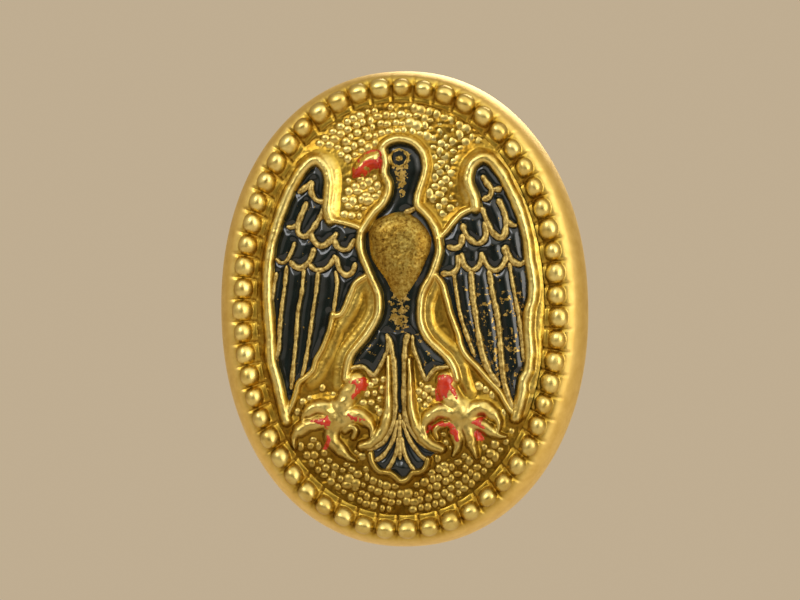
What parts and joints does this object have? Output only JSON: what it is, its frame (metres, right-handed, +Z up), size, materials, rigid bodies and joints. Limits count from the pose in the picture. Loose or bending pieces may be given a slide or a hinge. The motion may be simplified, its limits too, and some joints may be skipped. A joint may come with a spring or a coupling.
{
  "type": "cap badge",
  "caption": "Oval stamped gilt cap badge: bead border, lacquered eagle relief, back plate and two folding prongs.",
  "frame": {"origin": "middle of the plane on which the rolled-in lip lies against the cap", "axes": "+Z up as worn, +Y out of the back towards the cap, the face looks along -Y"},
  "size_m": [0.0234, 0.0056, 0.03],
  "materials": {
    "gilt_face": "gilt stamping: satin rim, bright relief, brown patina in the recesses",
    "black_lacquer": "glossy black lacquer, worn through in flecks",
    "red_lacquer": "glossy red lacquer, worn on the ridges",
    "card": "plain grey-brown card",
    "back_brass": "plain sheet, dull, lightly scratched",
    "loop_brass": "drawn wire with solder at its feet",
    "prong_brass": "soft strip with rolled edges"
  },
  "bodies": {
    "badge": {"back_plate": "back_brass", "black_eye_ring": "black_lacquer", "black_head": "black_lacquer", "black_neck": "black_lacquer", "black_tail_shaft": "black_lacquer", "black_tail_strip_left": "black_lacquer", "black_tail_strip_right": "black_lacquer", "black_thigh_left": "black_lacquer", "black_thigh_right": "black_lacquer", "black_wing_left_covert_1": "black_lacquer", "black_wing_left_covert_2": "black_lacquer", "black_wing_left_covert_3": "black_lacquer", "black_wing_left_covert_4": "black_lacquer", "black_wing_left_primary_1": "black_lacquer", "black_wing_left_primary_2": "black_lacquer", "black_wing_left_primary_3": "black_lacquer", "black_wing_left_primary_4": "black_lacquer", "black_wing_left_primary_5": "black_lacquer", "black_wing_left_scale_1": "black_lacquer", "black_wing_left_scale_2": "black_lacquer", "black_wing_left_scale_3": "black_lacquer", "black_wing_left_scale_4": "black_lacquer", "black_wing_left_shoulder": "black_lacquer", "black_wing_right_covert_1": "black_lacquer", "black_wing_right_covert_2": "black_lacquer", "black_wing_right_covert_3": "black_lacquer", "black_wing_right_covert_4": "black_lacquer", "black_wing_right_primary_1": "black_lacquer", "black_wing_right_primary_2": "black_lacquer", "black_wing_right_primary_3": "black_lacquer", "black_wing_right_primary_4": "black_lacquer", "black_wing_right_primary_5": "black_lacquer", "black_wing_right_scale_1": "black_lacquer", "black_wing_right_scale_2": "black_lacquer", "black_wing_right_scale_3": "black_lacquer", "black_wing_right_scale_4": "black_lacquer", "black_wing_right_shoulder": "black_lacquer", "face_shell": "gilt_face", "packing_board": "card", "prong_loop": "loop_brass", "red_ankle_left": "red_lacquer", "red_ankle_right": "red_lacquer", "red_beak": "red_lacquer", "red_claw_left": "red_lacquer", "red_claw_right": "red_lacquer"},
    "upper_prong": {"prong_upper": "prong_brass"},
    "lower_prong": {"prong_lower": "prong_brass"}
  },
  "joints": [
    {"name": "upper_prong_fold", "type": "hinge", "parent": "badge", "child": "upper_prong", "pos_m": [0, 0.00054, 0], "axis": [-1, 0, 0], "range_deg": [0, 90]},
    {"name": "lower_prong_fold", "type": "hinge", "parent": "badge", "child": "lower_prong", "pos_m": [0, 0.00054, 0], "axis": [1, 0, 0], "range_deg": [0, 90]}
  ]
}
